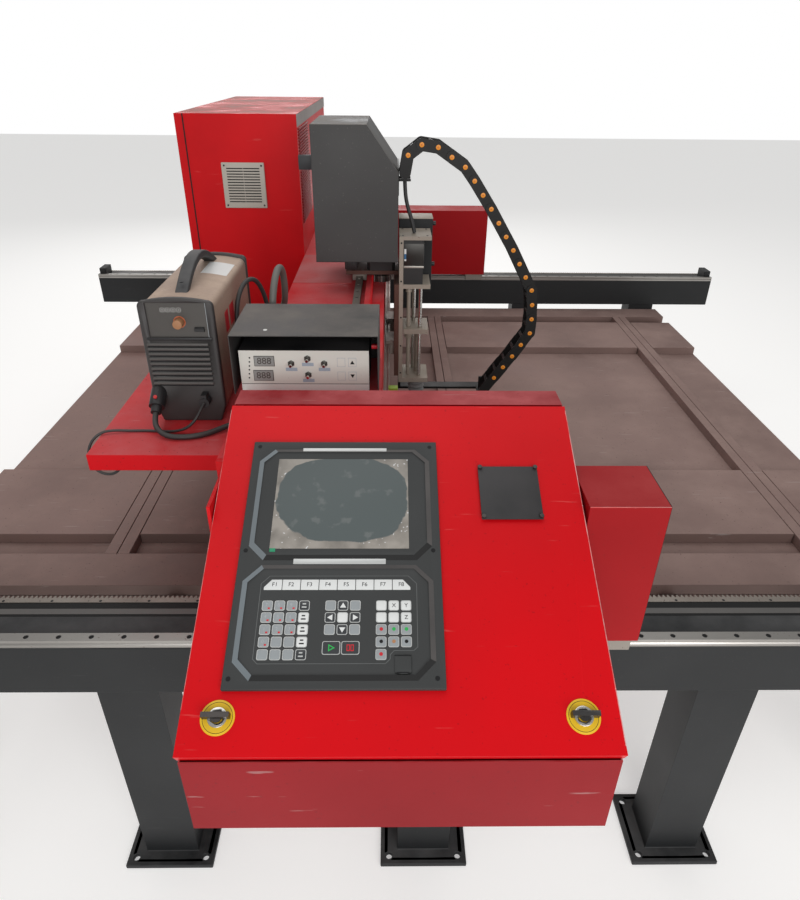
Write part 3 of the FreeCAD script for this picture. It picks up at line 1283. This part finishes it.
# Cords: straight runs joined by tangent arcs as large as the runs allow
def cord_solid(name, points, diameter):
    points = [Vector(*point) for point in points]
    runs = [(b - a).Length for a, b in zip(points, points[1:])]
    edges, last, radii = [], points[0], []
    for i in range(1, len(points) - 1):
        before = (points[i] - points[i - 1]).normalize()
        after = (points[i + 1] - points[i]).normalize()
        turn = before.getAngle(after)
        reach = 0.45 * min(runs[i - 1], runs[i])
        radii.append(reach / math.tan(turn / 2))
        start, end = points[i] - before * reach, points[i] + after * reach
        inward = (after - before).normalize()
        centre_gap = math.hypot(radii[-1], reach)
        middle = points[i] + inward * (centre_gap - radii[-1])
        edges += [Part.LineSegment(last, start).toShape(), Part.Arc(start, middle, end).toShape()]
        last = end
    edges.append(Part.LineSegment(last, points[-1]).toShape())
    path = Part.Wire(edges)
    first = (points[1] - points[0]).normalize()
    profile = Part.Wire(Part.makeCircle(diameter / 2, points[0], first))
    shell = Part.BRepOffsetAPI.MakePipeShell(path)
    shell.setFrenetMode(True)
    shell.add(profile)
    shell.build()
    shell.makeSolid()
    solid = shell.shape()
    expected = math.pi * diameter ** 2 / 4 * path.Length
    assert abs(solid.Volume / expected - 1) < 0.01, (name, solid.Volume, expected)
    print(name, "length", round(path.Length), "least radius", round(min(radii), 1),
          "in diameters", round(min(radii) / diameter, 1))
    return feature(name, solid)


def shifted(corner, offsets):
    return [tuple(base + step for base, step in zip(corner, offset)) for offset in offsets]


# Torch lead at the back of the desk: plug, half loop on the shelf, gland in the bridge's side
shelf_corner = (size("source_left"), size("source_front"), size("shelf_top"))
tilt = math.radians(size("plug_tilt"))
plug_base = (size("plug_left"), 0, size("plug_up"))
plug_tip = (plug_base[0], -size("plug_length") * math.cos(tilt),
            plug_base[2] - size("plug_length") * math.sin(tilt))
torch_supply = shifted(shelf_corner, [
    plug_tip, (14, -59, 27.5), (26.5, -76.8, 15), (48.2, -87, 8), (76, -88.5, 6.8), (104, -84, 6.8),
    (130, -71, 7), (152, -53, 8.5), (177, -36, 12)])
torch_supply.append((size("bridge_left") - 1.7, shelf_corner[1] - 25, shelf_corner[2] + 15))
cord_solid("torch_supply_lead", torch_supply, 12)

# Work lead: thin cable over the shelf's left edge and back up under it
work = (shelf_corner[0] + size("work_plug_left"), shelf_corner[1] - 26, shelf_corner[2] + size("work_plug_up"))
on_shelf = (shelf_corner[0] + size("work_plug_left"), shelf_corner[1] - 26, shelf_corner[2])
over_edge = (size("shelf_left"), shelf_corner[1] - 26, shelf_corner[2])
cord_solid("work_lead", [
    work] + shifted(on_shelf, [
        (-4, -16, 49), (-14, -30, 32), (-34, -36, 14), (-62, -32, 4), (-94, -30, 3.5), (-128, -26, 3.2),
        (-162, -28, 3.5), (-192, -32, 7)]) + shifted(over_edge, [
            (3, -40, 7), (-17, -52, -7), (-27, -62, -32), (-23, -68, -60), (-5, -70, -80), (21, -70, -83),
            (41, -69, -66), (47, -68, -35)]), 6)

# Air hose: from a hole in the shelf up in a high arch to the top of the bridge
cord_solid("air_hose", shifted((size("bridge_left"), shelf_corner[1], shelf_corner[2]), [
    (-50, 167, 0), (-52, 167, 49), (-55, 168, 96), (-58, 171, 144), (-58, 178, 188), (-52, 195, 230),
    (-38, 221, 256), (-21, 251, 252), (-9, 271, 218), (-2, 278, 176), (4, 278, 136)])
    + [(size("bridge_left") + 8, shelf_corner[1] + 278, size("bridge_top") + 0.8)], 11)

# Signal cable: a standing loop behind the hood, then down the bridge's left side to the cabinet
loop = (size("bridge_left"), size("hood_front") + size("hood_depth"), size("bridge_top"))
entry = (size("bridge_left"), size("cabinet_front"), size("bridge_top"))
cord_solid("signal_cable", shifted(loop, [
    (30, 28, 0), (30, 28, 50), (32, 29, 100), (36, 39, 148), (41, 71, 181), (44, 114, 182), (44, 150, 155),
    (42, 173, 112), (36, 194, 70), (22, 222, 38), (-7, 258, 18), (-18, 306, -18), (-18, 362, -48),
    (-18, 424, -62)]) + shifted(entry, [
        (-18, -401, -66), (-17, -200, -68), (-18, 0, -68)]), 16)

# Cable bundle from the chain's upper end down into the lifter's top
upper = (size("chain_start_x"), size("carriage_axis") - size("chain_plane"), size("lifter_top"))
cord_solid("lifter_cable", shifted(upper, [
    (0, 0, 150), (1, 0, 112), (8, 0, 74), (21, -3, 38), (29.7, -5, 1.4)]), 11)

# Torch lead from the chain's lower end, round in a loop and into the torch's top
chain_foot = (size("chain_end_x"), size("carriage_axis") - size("chain_plane"), size("chain_end_z"))
torch_head = (size("push_x"), size("torch_y"), size("torch_top"))
cord_solid("torch_lead", shifted(chain_foot, [
    (0, 0, 0), (-20, -1, -29), (-44, -8, -56), (-76, -19, -71)]) + shifted(torch_head, [
        (112, 43, -10), (86, 31, 12), (70, 19, 41), (42, 10, 57), (14, 2, 48), (0, 0, 22), (0, 0, 0)]), 11)

# Everything that is written out, one file for each sub-part
NODES = [
    "floor_beam_near", "floor_beam_far", "floor_rails", "floor_racks", "legs", "table_frame",
    "table_tray", "table_bars",
    "end_carriage_near", "end_carriage_far", "gantry_blocks", "gantry_motors", "end_cover_near",
    "end_cover_far", "bridge_beam", "bridge_rails", "bridge_rack", "shelf", "desk_body",
    "cabinet_body", "cabinet_drives", "height_hood", "height_box", "power_source", "source_plugs", "torch_supply_lead", "work_lead", "air_hose", "signal_cable",
    "desk_door", "control_panel", "controller_box", "lock_left", "lock_right",
    "cabinet_door", "toggle_left", "toggle_up", "toggle_right", "toggle_down",
    "source_knob", "source_switch", "plug_button",
    "carriage_plates", "carriage_blocks", "carriage_motor", "carriage_cover", "lifter_frame",
    "back_box", "lift_motor", "drag_chain", "chain_brackets", "lifter_cable",
    "torch_slide", "torch", "torch_bellows", "torch_lead",
    "lift_screw", "floor_pinion_near", "floor_pinion_far", "bridge_pinion",
]

doc.recompute()
for thing in doc.Objects:
    assert "Invalid" not in thing.State and "Error" not in thing.State, (thing.Name, thing.State)
by_label = {thing.Label: thing for thing in doc.Objects}
for node in NODES:
    shape = by_label[node].Shape
    assert not shape.isNull() and shape.isValid(), node
    assert shape.Solids, node
for node in NODES:
    by_label[node].Shape.exportStep(f"parts/{node}.step")
whole = Part.makeCompound([by_label[node].Shape for node in NODES]).BoundBox
print("nodes", len(NODES), "box", [round(v, 1) for v in
      (whole.XMin, whole.XMax, whole.YMin, whole.YMax, whole.ZMin, whole.ZMax)])
